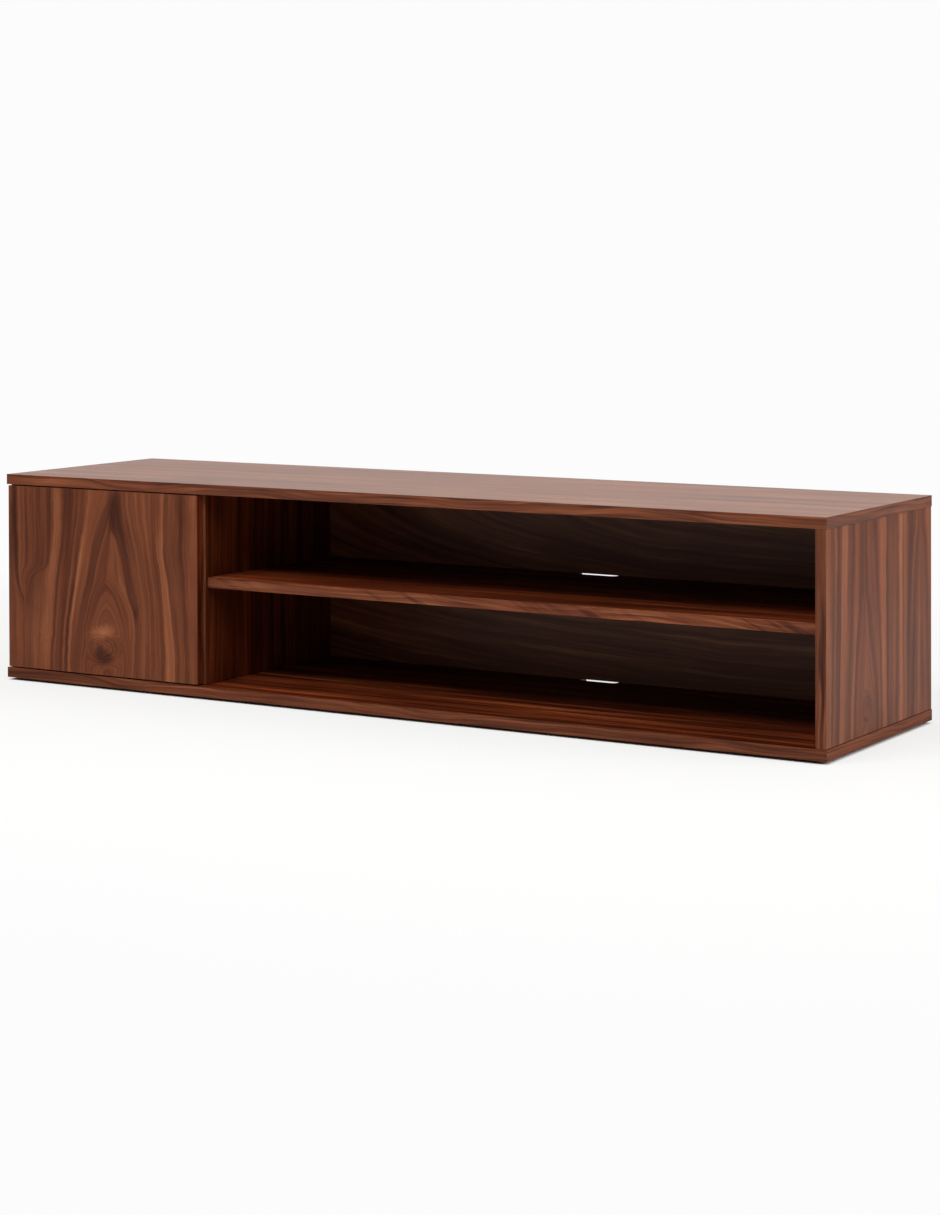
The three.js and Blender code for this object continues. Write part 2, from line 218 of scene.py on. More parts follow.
def join_surface(g, colour, roughness, height, bump_strength, bump_depth, own_values):
    """Joins a Principled surface with its bump to the output.

    own_values are by socket name, and the same all over the surface.
    """
    shader = g.add("ShaderNodeBsdfPrincipled")
    g.feed(shader.inputs["Base Color"], colour)
    g.feed(shader.inputs["Roughness"], roughness)
    for name, value in own_values.items():
        shader.inputs[name].default_value = value
    bump = g.add("ShaderNodeBump")
    bump.inputs["Strength"].default_value = bump_strength
    bump.inputs["Distance"].default_value = bump_depth
    g.feed(bump.inputs["Height"], height)
    g.feed(shader.inputs["Normal"], bump.outputs[0])
    g.finish("ShaderNodeOutputMaterial", shader.outputs[0])


# Walnut, from the darkest streak to the lightest
WALNUT_TONES = (
    (0.00, (52, 24, 13)),
    (0.22, (75, 38, 23)),
    (0.45, (99, 54, 33)),
    (0.68, (119, 69, 44)),
    (0.86, (138, 86, 56)),
    (1.00, (158, 108, 74)),
)
REDDISH = (128, 54, 34)
REDDISH_STRENGTH = 0.30
REDDISH_FADE = (-0.12, 0.22)

# Layers of the veneer across and along its grain, each with its shift of the seed
VENEER_LAYERS = {
    "bands": (Grain(0.045, 0.0011, 3.0, 0.6), 0.0),
    "stripes": (Grain(0.12, 0.0022, 2.0, 0.5), 5.1),
    "lines": (Grain(0.30, 0.0042, 3.0, 0.65), 11.3),
    "fibres": (Grain(2.6, 0.022, 2.0, 0.6), 23.7),
    "clouds": (Grain(0.011, 0.006, 2.0, 0.5), 31.9),
    "pores": (Grain(3.4, 0.11, 1.0, 0.5), 47.1),
    "hues": (Grain(0.06, 0.0016, 2.0, 0.5), 61.7),
}
PORE_FADE = (0.63, 0.74)

# How far a layer moves the tone: the streaks by the board's contrast, the others always
STREAK_WEIGHTS = {"bands": 0.95, "stripes": 0.80, "lines": 0.75}
TEXTURE_WEIGHTS = {"fibres": 0.32, "clouds": 0.34, "pores": -0.16}

# The wood's roughness and height, and how much its fibres and pores add to them
WOOD_ROUGHNESS, FIBRE_ROUGHNESS, PORE_ROUGHNESS = 0.40, 0.16, 0.22
WOOD_HEIGHT, FIBRE_HEIGHT, PORE_HEIGHT = 0.5, 0.5, -1.0
WOOD_IOR = 1.45
WOOD_BUMP_STRENGTH = 0.35
WOOD_BUMP_DEPTH = 0.00012
SHEEN_ROUGHNESS = 0.35
SHEEN_TINT = (0.92, 0.60, 0.47, 1.0)


def veneer_group():
    """Walnut colour, roughness and height.

    Across is a distance in mm through the rings, Along a length in mm along the grain,
    Tone the middle of the tones, Seed a number of the board's own.
    """
    tree = bpy.data.node_groups.new("walnut_veneer", "ShaderNodeTree")
    face = tree.interface
    for name in ("Across", "Along", "Tone", "Seed", "Contrast"):
        face.new_socket(name, in_out="INPUT", socket_type="NodeSocketFloat")
    face.new_socket("Color", in_out="OUTPUT", socket_type="NodeSocketColor")
    face.new_socket("Roughness", in_out="OUTPUT", socket_type="NodeSocketFloat")
    face.new_socket("Height", in_out="OUTPUT", socket_type="NodeSocketFloat")
    g = Graph(tree)
    given = g.add("NodeGroupInput").outputs
    across, along, tone, seed, contrast = (given[i] for i in range(5))
    layers = {}
    for name, (grain, shift) in VENEER_LAYERS.items():
        layer = g.face_noise(across, along, grain, seed=g.plus(seed, shift))
        layers[name] = g.step(layer, *PORE_FADE) if name == "pores" else g.centred(layer)
    fibres, pores = layers["fibres"], layers["pores"]
    level = tone
    for name, weight in STREAK_WEIGHTS.items():
        level = g.scaled(layers[name], g.times(contrast, weight), level)
    for name, weight in TEXTURE_WEIGHTS.items():
        level = g.scaled(layers[name], weight, level)
    hue = g.times(g.step(layers["hues"], *REDDISH_FADE), REDDISH_STRENGTH)
    colour = g.mix_colour(hue, g.ramp(level, WALNUT_TONES), linear(REDDISH), blend="SOFT_LIGHT")
    roughness = g.scaled(pores, PORE_ROUGHNESS, WOOD_ROUGHNESS)
    roughness = g.scaled(fibres, FIBRE_ROUGHNESS, roughness)
    height = g.scaled(pores, PORE_HEIGHT, g.scaled(fibres, FIBRE_HEIGHT, WOOD_HEIGHT))
    out = g.add("NodeGroupOutput")
    for socket, value in zip(out.inputs, (colour, roughness, height)):
        g.feed(socket, value)
    return tree


veneer = veneer_group()

# Colours laid over the veneer, and the stretch of X over which the back panel changes
BACK_FADE = (-320.0, 120.0)
# Painted reflection: a cool grey sheen over the back panel, coming in towards the right
PAINTED_GREY_REFLECTION = Overlay("MIX", 0.34, (92, 70, 60), BACK_FADE)
# Painted shade: a red, darker multiply for the dark, reddened shade inside the open bay; the
# door's edges take it too
RED_SHADE_TINT = Overlay("MULTIPLY", 1.0, (255, 219, 190))
PINK_STAIN = Overlay("MIX", 0.10, (118, 78, 68))
WARM_STAIN = Overlay("MULTIPLY", 0.5, (255, 232, 190))


class Panel:
    """Sockets of a veneered panel: its places in mm, and which of its faces a point is on."""

    def __init__(self, material, grain, thick, wide):
        self.g = g = Graph(material.node_tree)
        place, normal = g.object_mm()
        self.x, self.y, self.z = place
        self.along, self.thick, self.wide = place[grain], place[thick], place[wide]
        self.side = normal[thick]
        self.broad = g.facing(normal[thick])
        end = g.facing(normal[grain])
        self.run = g.mix(end, self.along, self.wide)


# Slow wander of a board's rings along its length and over its face, and how much the rings
# are closer on one side of the centre line than on the other
DRIFT_RATE = 0.0021
DRIFT_SHARE = 2.2
FACE_SWAY = Grain(0.006, 0.009, 2.0, 0.5)
ONE_SIDED = 0.2


def figure(panel, seed, centre, knot, depth, slope, wander):
    """Distance from the pith over a flat-cut face: nested arches along a centre line."""
    g = panel.g
    path = g.vector(g.times(panel.along, DRIFT_RATE), seed, 3.1)
    drift = g.centred(g.noise(path, detail=2.0, roughness=0.5))
    sway = g.centred(g.face_noise(panel.along, panel.wide, FACE_SWAY, seed=seed + 7.7))
    aside = g.scaled(sway, wander, g.minus(panel.wide, centre))
    below = g.scaled(g.minus(panel.along, knot), slope, depth)
    below = g.scaled(drift, DRIFT_SHARE * wander, below)
    reach = g.math("SQRT", g.plus(g.times(aside, aside), g.times(below, below)))
    return g.scaled(aside, ONE_SIDED, reach)


def finish_wood(panel, across, tone, seed, contrast, sheen, specular, overlay, edge_overlay):
    """Joins the veneer group to the shader, with a colour laid on the broad faces or the edges,
    such as a stain, painted reflection and painted shade.
    """
    g = panel.g
    group = g.add("ShaderNodeGroup", node_tree=veneer)
    for socket, value in zip(group.inputs, (across, panel.run, tone, seed, contrast)):
        g.feed(socket, value)
    colour = group.outputs["Color"]
    for laid, where in ((overlay, panel.broad), (edge_overlay, g.inverse(panel.broad))):
        if laid:
            strength = laid.strength
            if laid.fade:
                strength = g.times(g.step(panel.x, *laid.fade), strength)
            over = linear(laid.colour)
            colour = g.mix_colour(g.times(where, strength), colour, over, blend=laid.blend)
    own_values = {"IOR": WOOD_IOR, "Specular IOR Level": specular}
    if sheen:
        own_values["Sheen Weight"] = sheen
        own_values["Sheen Roughness"] = SHEEN_ROUGHNESS
        own_values["Sheen Tint"] = SHEEN_TINT
    join_surface(
        g, colour, group.outputs["Roughness"], group.outputs["Height"], WOOD_BUMP_STRENGTH,
        WOOD_BUMP_DEPTH, own_values,
    )


# The two broad faces of a board are cut from different places
OTHER_FACE = 190.0
OTHER_FACE_SEED = 3.0

# The figure of a board's edges: slanting lines, dark lenses and light flares
EDGE_CONTRAST = 1.2
SLANT_RATE = 0.0030
SLANT_REACH = 80.0
EDGE_SPREAD = 1.2
EDGE_SEED_STEP = 13.0
LENSES = Grain(0.10, 0.0035, 1.0, 0.4)
LENS_FADE = (0.56, 0.70)
LENS_TONE = -0.28
FLARES = Grain(0.06, 0.006, 2.0, 0.5)
FLARE_FADE = (0.52, 0.72)
FLARE_TONE = 0.14


def walnut_panel(
    name, axes, seed, centre, knot=0.0, depth=6.0, slope=0.05, wander=26.0, tone=0.45,
    edge_tone=0.38, contrast=1.0, sheen=0.0, specular=0.25, overlay=None, edge_overlay=None,
    redraw=None,
):
    """The finish of a veneered panel, whose axes are those of its grain, thickness and width.

    The pith lies under the centre line, at the depth below the face at the knot, and goes
    deeper by the slope beyond it. redraw(panel, across, level) may draw one face anew.
    """
    material = new_material(name)
    panel = Panel(material, *axes)
    g = panel.g
    rings = figure(panel, seed, centre, knot, depth, slope, wander)
    flipped = g.above(panel.side, 0.0)
    broad_across = g.scaled(flipped, OTHER_FACE, rings)
    path = g.vector(g.times(panel.run, SLANT_RATE), seed, 1.7)
    slant = g.centred(g.noise(path, detail=2.0, roughness=0.4))
    edge_across = g.scaled(panel.thick, EDGE_SPREAD, seed * EDGE_SEED_STEP)
    edge_across = g.scaled(slant, SLANT_REACH, edge_across)
    lens = g.face_noise(edge_across, panel.run, LENSES, seed=seed + 2.9)
    flare = g.face_noise(edge_across, panel.run, FLARES, seed=seed + 8.3)
    edge_level = g.scaled(g.step(lens, *LENS_FADE), LENS_TONE, edge_tone)
    edge_level = g.scaled(g.step(flare, *FLARE_FADE), FLARE_TONE, edge_level)
    across = g.mix(panel.broad, edge_across, broad_across)
    level = g.mix(panel.broad, edge_level, tone)
    contrast = g.mix(panel.broad, EDGE_CONTRAST, contrast)
    if redraw:
        across, level = redraw(panel, across, level)
    seed = g.scaled(flipped, OTHER_FACE_SEED, seed)
    finish_wood(panel, across, level, seed, contrast, sheen, specular, overlay, edge_overlay)
    return material


def trace(g, value, span, points, low, high):
    """A smooth curve through (place, level) pairs, read at a value from 0 to the span."""
    node = g.add("ShaderNodeFloatCurve")
    curve = node.mapping.curves[0]
    for index, (at, level) in enumerate(points):
        location = (at / span, (level - low) / (high - low))
        if index < len(curve.points):
            curve.points[index].location = location
        else:
            curve.points.new(*location)
    for point in curve.points:
        point.handle_type = "AUTO_CLAMPED"
    node.mapping.update()
    g.feed(node.inputs["Value"], g.times(value, 1 / span))
    return g.scaled(node.outputs[0], high - low, low)


# Contours are drawn up to this height over the floor, and at least this far apart
FACE_TOP = 352.0
LEAST_RING = 0.4


def through_rings(g, across, height, contours, low, high):
    """Distance through the rings: between two contours it grows by the second one's width."""
    total = 0.0
    before = None
    for width, points in contours:
        straight = isinstance(points, float)
        line = points if straight else trace(g, height, FACE_TOP, points, low, high)
        if before is not None:
            line = g.math("MAXIMUM", line, g.plus(before, LEAST_RING))
            total = g.plus(g.rescaled(across, before, line, width), total)
        before = line
    return total


def inside(g, across, height, spot):
    """1 in the middle of a spot, fading out past its edge."""
    aside = g.minus(across, spot.across)
    over = g.minus(g.minus(height, spot.height), g.times(aside, spot.lean))
    u = g.times(aside, 1 / spot.half_across)
    v = g.times(over, 1 / spot.half_height)
    square = g.plus(g.times(u, u), g.times(v, v))
    return g.math("EXPONENT", g.times(g.math("POWER", square, 1.5), -1.0))


def shaded(g, tone, across, height, shade):
    return g.toned(tone, inside(g, across, height, shade.spot), shade.strength, shade.tone)


# The door's contours from its left edge: width through the rings, then where the contour
# lies, as (height, place across) pairs or one place across
DOOR_CONTOURS = (
    (0, -798.0),
    (18, ((0, -759), (146, -760), (170, -770), (204, -777), (254, -779.5), (350, -781.5))),
    (70, ((0, -758), (147, -758), (160, -752), (178, -747), (194, -738), (203, -722),
          (212, -708), (235, -703.5), (350, -703))),
    (14, ((0, -712), (54, -710), (104, -705), (154, -703), (204, -700), (254, -695),
          (350, -690))),
    (16, ((0, -700), (54, -697), (104, -693), (154, -690), (204, -683), (254, -677),
          (350, -673))),
    (48, ((0, -662), (54, -661), (104, -658), (154, -648), (204, -640), (254, -632),
          (304, -620), (350, -615))),
    (15, ((0, -653), (54, -653), (104, -648), (154, -640), (204, -630), (254, -618),
          (304, -603), (350, -597))),
    (15, ((0, -646), (54, -644), (104, -638), (154, -628), (204, -615), (254, -603),
          (304, -585), (345, -557), (352, -556))),
    (16, ((0, -634), (54, -632), (104, -626), (154, -614), (204, -600), (254, -583),
          (285, -571), (352, -555))),
    (20, ((0, -620), (60, -618), (110, -612), (137, -603), (164, -593), (181, -584),
          (194, -573), (220, -570), (352, -554))),
    (60, ((0, -522), (70, -520), (104, -517), (124, -517), (141, -521), (165, -537),
          (184, -556), (194, -571), (220, -569), (352, -553))),
    (18, ((0, -513), (54, -510), (104, -508), (140, -513), (170, -525), (204, -533),
          (237, -540), (270, -553), (290, -564), (352, -552))),
    (15, ((0, -502), (70, -500), (117, -498), (140, -502), (170, -513), (204, -520),
          (237, -527), (270, -533), (304, -541), (340, -548), (352, -551))),
    (7, ((0, -499), (70, -497), (104, -495), (140, -499), (170, -503), (204, -510),
         (254, -520), (304, -533), (350, -537))),
    (16, ((0, -484), (104, -484), (170, -487), (204, -493), (254, -503), (304, -517),
          (350, -521))),
    (44, ((0, -443), (54, -441), (104, -443), (154, -448), (204, -453), (254, -462),
          (350, -463))),
    (18, ((0, -423), (54, -420), (104, -423), (154, -430), (204, -437), (254, -446),
          (350, -443))),
    (50, -371.0),
)
DOOR_ACROSS = (-800.0, -350.0)

# Tone at each distance through the door's rings
DOOR_TONES = (
    (0, .30), (8, .42), (14, .24), (18, .10), (22, .32), (30, .42), (38, .36), (45, .47),
    (53, .49), (61, .46), (67, .36), (74, .45), (81, .42), (87, .22), (92, .34), (100, .44),
    (103, .60), (110, .64), (117, .57), (121, .32), (128, .40), (134, .25), (142, .38),
    (149, .27), (156, .42), (161, .18), (165, .20), (168, .62), (174, .80), (180, .64),
    (184, .44), (192, .36), (197, .18), (204, .10), (211, .22), (215, .46), (223, .50),
    (229, .42), (232, .56), (235, .38), (243, .45), (251, .33), (259, .42), (267, .34),
    (276, .43), (287, .38), (291, .56), (294, .36), (302, .54), (308, .48), (312, .24),
    (319, .13), (326, .26), (331, .42), (334, .54), (340, .60), (346, .48), (350, .30),
    (356, .41), (362, .31), (370, .44), (378, .35), (386, .47), (391, .50), (394, .80),
    (402, .94), (408, .80), (412, .26), (417, .36), (424, .54), (430, .34), (437, .26),
    (442, .40), (448, .58), (454, .46), (460, .36),
)
DOOR_SPAN = 460.0
DOOR_TONE_SCALE = 0.70
DOOR_TONE_BASE = 0.125

# How the door's rings waver, and how far in mm
DOOR_SWAY = Grain(0.02, 0.013, 2.0, 0.5)
DOOR_SWAY_REACH = 5.0
DOOR_RIPPLE = Grain(0.07, 0.035, 2.0, 0.5)
DOOR_RIPPLE_REACH = 4.5

# Shades on the door's face. The tones of the knot and of the brow over it ripple too
DOOR_APEX = Shade(Spot(-556.0, 316.0, 14.0, 37.0), 0.95, 0.06)
DOOR_SHADES = (
    Shade(Spot(-790.0, 285.0, 9.0, 85.0), 0.7, 0.12),
    Shade(Spot(-603.0, 310.0, 20.0, 60.0), 0.6, 0.34),
    Shade(Spot(-776.0, 80.0, 22.0, 90.0), 0.5, 0.56),
    Shade(Spot(-728.0, 120.0, 18.0, 100.0), 0.6, 0.32),
    Shade(Spot(-717.0, 165.0, 9.0, 45.0), 0.5, 0.22),
    Shade(Spot(-698.0, 300.0, 9.0, 70.0), 0.4, 0.24),
    Shade(Spot(-551.0, 205.0, 9.0, 30.0), 0.5, 0.24),
    Shade(Spot(-458.0, 325.0, 14.0, 50.0), 0.5, 0.30),
    Shade(Spot(-568.0, 236.0, 11.0, 40.0), 0.8, 0.45),
)
DOOR_BROW = Shade(Spot(-579.0, 70.0, 31.0, 27.0), 0.7, 0.49)
BROW_RIPPLE = 1.2
DOOR_MARK = Spot(-584.0, 99.0, 29.0, 12.0, 0.2)
MARK_LIGHT = 0.36
DOOR_KNOT = Shade(Spot(-580.0, 58.0, 18.0, 16.0), 0.85, 0.06)
KNOT_RIPPLE = 0.8
DOOR_BRUISE = Shade(Spot(-507.0, 139.0, 6.0, 12.0), 0.6, 0.05)

# How far the brow shifts the distance through the rings
BROW_SHIFT = -60.0

# Arches round the knot: their middle, how wide their right half and how tall they are, how
# they lie through the rings, and the distances over which the contours give way to them
ARCH_ACROSS, ARCH_HEIGHT = -572.0, 57.0
ARCH_RIGHT_SHARE = 0.90
ARCH_CLIMB_SHARE = 0.365
ARCH_POWER = 1.6
ARCH_RINGS = 277.0
ARCH_RING_SHARE = -0.9
ARCH_FADE = (51.0, 45.0)

# The outlines of the oval at the door's left meet below it, in one line of an even tone
STEM_ACROSS, STEM_HALF = -758.0, 8.0
STEM_FADE = (128.0, 150.0)
STEM_TONE = 0.38

# Where the flame's rings begin and end, and the heights over which their even tone goes
FLAME_IN, FLAME_OUT = (186.0, 200.0), (322.0, 336.0)
FLAME_LOW = (80.0, 210.0)
FLAME_STRENGTH, FLAME_TONE = 0.55, 0.46


def arched(g, across, height, rings):
    """The door's rings, with arches in place of the contours round the knot."""
    aside = g.minus(across, ARCH_ACROSS)
    aside = g.times(aside, g.mix(g.above(aside, 0.0), 1.0, ARCH_RIGHT_SHARE))
    climb = g.times(g.absolute(g.minus(height, ARCH_HEIGHT)), ARCH_CLIMB_SHARE)
    aside_part = g.math("POWER", g.absolute(aside), ARCH_POWER)
    climb_part = g.math("POWER", climb, ARCH_POWER)
    away = g.math("POWER", g.plus(aside_part, climb_part), 1 / ARCH_POWER)
    arches = g.scaled(away, ARCH_RING_SHARE, ARCH_RINGS)
    return g.mix(g.step(away, *ARCH_FADE), rings, arches)


def door_front(panel, across, level):
    """The door's face: a knot low down under a tall flame of arches, between straight bands."""
    g = panel.g
    face = g.times(panel.broad, g.math("LESS_THAN", panel.side, 0.0))
    x, z = panel.x, panel.z
    sway = g.centred(g.face_noise(x, z, DOOR_SWAY, seed=5.0))
    ripple = g.centred(g.face_noise(x, z, DOOR_RIPPLE, seed=9.0))
    at = g.scaled(ripple, DOOR_RIPPLE_REACH, g.scaled(sway, DOOR_SWAY_REACH, x))
    rings = arched(g, at, z, through_rings(g, at, z, DOOR_CONTOURS, *DOOR_ACROSS))
    tone = trace(g, rings, DOOR_SPAN, DOOR_TONES, 0.0, 1.0)
    tone = g.scaled(tone, DOOR_TONE_SCALE, DOOR_TONE_BASE)
    tone = shaded(g, tone, x, z, DOOR_APEX)

    off_stem = g.math("POWER", g.times(g.plus(x, -STEM_ACROSS), 1 / STEM_HALF), 2.0)
    stem = g.math("EXPONENT", g.times(off_stem, -1.0))
    stem = g.times(stem, g.inverse(g.step(z, *STEM_FADE)))
    tone = g.mix(stem, tone, STEM_TONE)
    for shade in DOOR_SHADES:
        tone = shaded(g, tone, x, z, shade)
    flame = g.times(g.step(rings, *FLAME_IN), g.inverse(g.step(rings, *FLAME_OUT)))
    low_flame = g.times(flame, g.inverse(g.step(z, *FLAME_LOW)))
    tone = g.toned(tone, low_flame, FLAME_STRENGTH, FLAME_TONE)

    brow = inside(g, x, z, DOOR_BROW.spot)
    brow_tone = g.scaled(ripple, BROW_RIPPLE, DOOR_BROW.tone)
    tone = g.toned(tone, brow, DOOR_BROW.strength, brow_tone)
    tone = g.scaled(inside(g, x, z, DOOR_MARK), MARK_LIGHT, tone)
    knot_tone = g.scaled(ripple, KNOT_RIPPLE, DOOR_KNOT.tone)
    tone = shaded(g, tone, x, z, DOOR_KNOT._replace(tone=knot_tone))
    tone = shaded(g, tone, x, z, DOOR_BRUISE)
    shape = g.plus(rings, g.times(brow, BROW_SHIFT))
    return g.mix(face, across, shape), g.mix(face, level, tone)


# The right side's contours from its front edge, as the door's are written
SIDE_CONTOURS = (
    (0, -213.0),
    (62, ((0, -161), (60, -159), (154, -153), (254, -149), (350, -147))),
    (18, ((0, -145), (60, -142), (154, -136), (254, -130), (350, -128))),
    (24, ((0, -124), (60, -119), (154, -111), (254, -104), (350, -100))),
    (16, ((0, -114), (60, -109), (154, -99), (254, -87), (350, -83))),
    (16, ((0, -101), (90, -97), (137, -92), (190, -85), (230, -76), (244, -67), (300, -66),
          (350, -66))),
    (22, ((0, -85), (80, -80), (120, -74), (160, -66), (182, -59), (220, -60), (350, -64))),
    (30, ((0, -30), (60, -31), (110, -36), (150, -47), (176, -57), (220, -59), (350, -63))),
    (20, ((0, -12), (97, -13), (120, -19), (160, -29), (184, -34), (230, -52), (244, -64),
          (350, -62))),
    (14, ((0, 2), (100, 0), (170, -3), (210, -7), (270, -14), (350, -23))),
    (22, ((0, 23), (154, 21), (254, 20), (350, 20))),
    (16, 37.0),
    (33, 70.0),
    (13, 83.0),
    (20, 103.0),
    (34, ((0, 122), (100, 127), (200, 133), (287, 144), (332, 158), (350, 159))),
    (40, ((0, 191), (120, 188), (237, 182), (304, 173), (334, 161), (350, 160))),
    (25, 213.0),
)
SIDE_ACROSS = (-250.0, 250.0)

# Tone at each distance through the side's rings
SIDE_TONES = (
    (0, .56), (8, .64), (20, .62), (25, .34), (31, .30), (36, .52), (42, .46), (47, .28),
    (55, .32), (60, .50), (65, .74), (72, .80), (79, .70), (83, .42), (92, .30), (101, .40),
    (107, .60), (114, .64), (119, .52), (124, .30), (134, .18), (139, .36), (150, .44),
    (158, .34), (166, .46), (178, .40), (188, .46), (196, .36), (204, .24), (208, .20),
    (213, .42), (219, .30), (223, .26), (228, .62), (236, .76), (244, .72), (246, .34),
    (252, .26), (260, .40), (270, .34), (280, .44), (290, .36), (297, .66), (306, .72),
    (312, .48), (322, .58), (330, .50), (336, .30), (346, .38), (356, .26), (364, .18),
    (368, .36), (380, .46), (392, .50), (402, .36), (406, .22), (412, .42), (422, .56),
    (432, .46),
)
SIDE_SPAN = 432.0
SIDE_TONE_SCALE = 0.75
SIDE_TONE_BASE = 0.107

# How the side's rings waver, and how far in mm
SIDE_SWAY = Grain(0.02, 0.011, 2.0, 0.5)
SIDE_SWAY_REACH = 7.0
SIDE_RIPPLE = Grain(0.08, 0.03, 2.0, 0.5)
SIDE_RIPPLE_REACH = 5.0

# The eye near the side's foot, and how far its lid shifts the distance through the rings
SIDE_LID = Shade(Spot(-51.0, 62.0, 20.0, 24.0), 0.7, 0.20)
SIDE_EYE = Shade(Spot(-55.0, 48.0, 13.0, 12.0), 0.8, 0.46)
SIDE_PUPIL = Shade(Spot(-60.0, 45.0, 9.0, 5.0), 0.8, 0.14)
LID_SHIFT = -40.0


def side_front(panel, across, level):
    """The right side's outer face: a tall arch over an eye near the foot, one more behind."""
    g = panel.g
    face = g.times(panel.broad, g.above(panel.side, 0.0))
    y, z = panel.y, panel.z
    sway = g.centred(g.face_noise(y, z, SIDE_SWAY, seed=15.0))
    ripple = g.centred(g.face_noise(y, z, SIDE_RIPPLE, seed=19.0))
    at = g.scaled(ripple, SIDE_RIPPLE_REACH, g.scaled(sway, SIDE_SWAY_REACH, y))
    rings = through_rings(g, at, z, SIDE_CONTOURS, *SIDE_ACROSS)
    tone = trace(g, rings, SIDE_SPAN, SIDE_TONES, 0.0, 1.0)
    tone = g.scaled(tone, SIDE_TONE_SCALE, SIDE_TONE_BASE)
    lid = inside(g, y, z, SIDE_LID.spot)
    tone = g.toned(tone, lid, SIDE_LID.strength, SIDE_LID.tone)
    tone = shaded(g, tone, y, z, SIDE_EYE)
    tone = shaded(g, tone, y, z, SIDE_PUPIL)
    shape = g.scaled(lid, LID_SHIFT, rings)
    return g.mix(face, across, shape), g.mix(face, level, tone)


# Slanting marks on the open shelf's edge, and where along it they come
SHELF_SLANT = 2.2
SHELF_MARKS = Grain(0.030, 0.012, 3.0, 0.6)
SHELF_MARK_FADE = (0.50, 0.66)
SHELF_MARK_TONE = -0.36
SHELF_REACH_RATE = 0.0032
SHELF_REACH_FADE = (0.38, 0.58)


def shelf_edge(panel, across, level):
    """The open shelf's front edge: slanting dark marks across the grain."""
    g = panel.g
    slanted = g.scaled(panel.z, SHELF_SLANT, panel.x)
    marks = g.step(g.face_noise(slanted, panel.z, SHELF_MARKS, seed=33.0), *SHELF_MARK_FADE)
    path = g.vector(g.times(panel.x, SHELF_REACH_RATE), 4.0, 37.0)
    reach = g.noise(path, detail=1.0, roughness=0.5)
    edge = g.times(g.inverse(panel.broad), g.step(reach, *SHELF_REACH_FADE))
    return across, g.scaled(g.times(edge, marks), SHELF_MARK_TONE, level)


# How much painted shade darkens the back panel at its left, towards the divider
BACK_LEFT_SHADE = -0.17


def back_shaded(panel, across, level):
    """The back panel, with painted shade that darkens it towards the divider."""
    g = panel.g
    return across, g.scaled(g.inverse(g.step(panel.x, *BACK_FADE)), BACK_LEFT_SHADE, level)


# Axes of a panel's grain, thickness and width
LEVEL_BOARD = (X, Z, Y)
UPRIGHT_SIDE = (Z, X, Y)
UPRIGHT_DOOR = (Z, Y, X)
LEVEL_BACK = (X, Y, Z)
# Boards inside the open bay: the red multiply on their faces paints the bay's dark, reddened
# shade
SHADED_INSIDE = {"specular": 0.05, "overlay": RED_SHADE_TINT, "edge_overlay": PINK_STAIN}

walnut = {
    "top_board": walnut_panel(
        "walnut_top", LEVEL_BOARD, seed=2.0, centre=-420.0, knot=300.0, slope=0.07,
        wander=20.0, edge_tone=0.39, contrast=1.6, sheen=0.22, edge_overlay=WARM_STAIN,
    ),
    # The bottom board's and the open shelf's low tones partly paint the open bay's dark shade
    "bottom_board": walnut_panel(
        "walnut_bottom", LEVEL_BOARD, seed=4.0, centre=460.0, wander=12.0, tone=0.255,
        edge_tone=0.32, contrast=2.1, **SHADED_INSIDE,
    ),
    "open_shelf": walnut_panel(
        "walnut_shelf", LEVEL_BOARD, seed=6.0, centre=420.0, wander=12.0, tone=0.235,
        edge_tone=0.53, contrast=1.8, redraw=shelf_edge, **SHADED_INSIDE,
    ),
    "left_side_panel": walnut_panel(
        "walnut_left", UPRIGHT_SIDE, seed=8.0, centre=-30.0, slope=0.22,
    ),
    "divider_panel": walnut_panel(
        "walnut_divider", UPRIGHT_SIDE, seed=10.0, centre=420.0, slope=0.12, wander=12.0,
        tone=0.30, edge_tone=0.53, contrast=1.05, **SHADED_INSIDE,
    ),
    "right_side_panel": walnut_panel(
        "walnut_right", UPRIGHT_SIDE, seed=12.0, centre=20.0, slope=0.2, edge_tone=0.49,
        contrast=0.6, specular=0.19, redraw=side_front,
    ),
    "door_panel": walnut_panel(
        "walnut_door", UPRIGHT_DOOR, seed=14.0, centre=-600.0, slope=0.2, contrast=0.68,
        specular=0.13, edge_overlay=RED_SHADE_TINT, redraw=door_front,
    ),
    "door_bay_shelf": walnut_panel(
        "walnut_bay_shelf", LEVEL_BOARD, seed=16.0, centre=10.0,
    ),
    # The back panel's high tone partly paints the light that reaches the back of the bay
    "back_panel": walnut_panel(
        "walnut_back", LEVEL_BACK, seed=18.0, centre=380.0, knot=600.0, depth=2.0,
        slope=0.186, wander=16.0, tone=0.64, contrast=1.2, overlay=PAINTED_GREY_REFLECTION,
        redraw=back_shaded,
    ),
}

FINE_BUMP_STRENGTH = 0.5
PLAIN_IOR = 1.5


def plain_surface(g, colour, roughness, height, bump_depth, metallic=0.0):
    own_values = {"Metallic": metallic, "IOR": PLAIN_IOR}
    join_surface(g, colour, roughness, height, FINE_BUMP_STRENGTH, bump_depth, own_values)


BEECH_GRAIN = Texture((0.5, 0.5, 0.5), 3.0, 0.6)
BEECH_FLECKS = Texture((1.6, 1.6, 1.6), 2.0, 0.5)
BEECH_TONES = ((0.0, (158, 112, 72)), (0.5, (196, 152, 106)), (1.0, (216, 178, 134)))
FLECK_FADE = (0.58, 0.66)


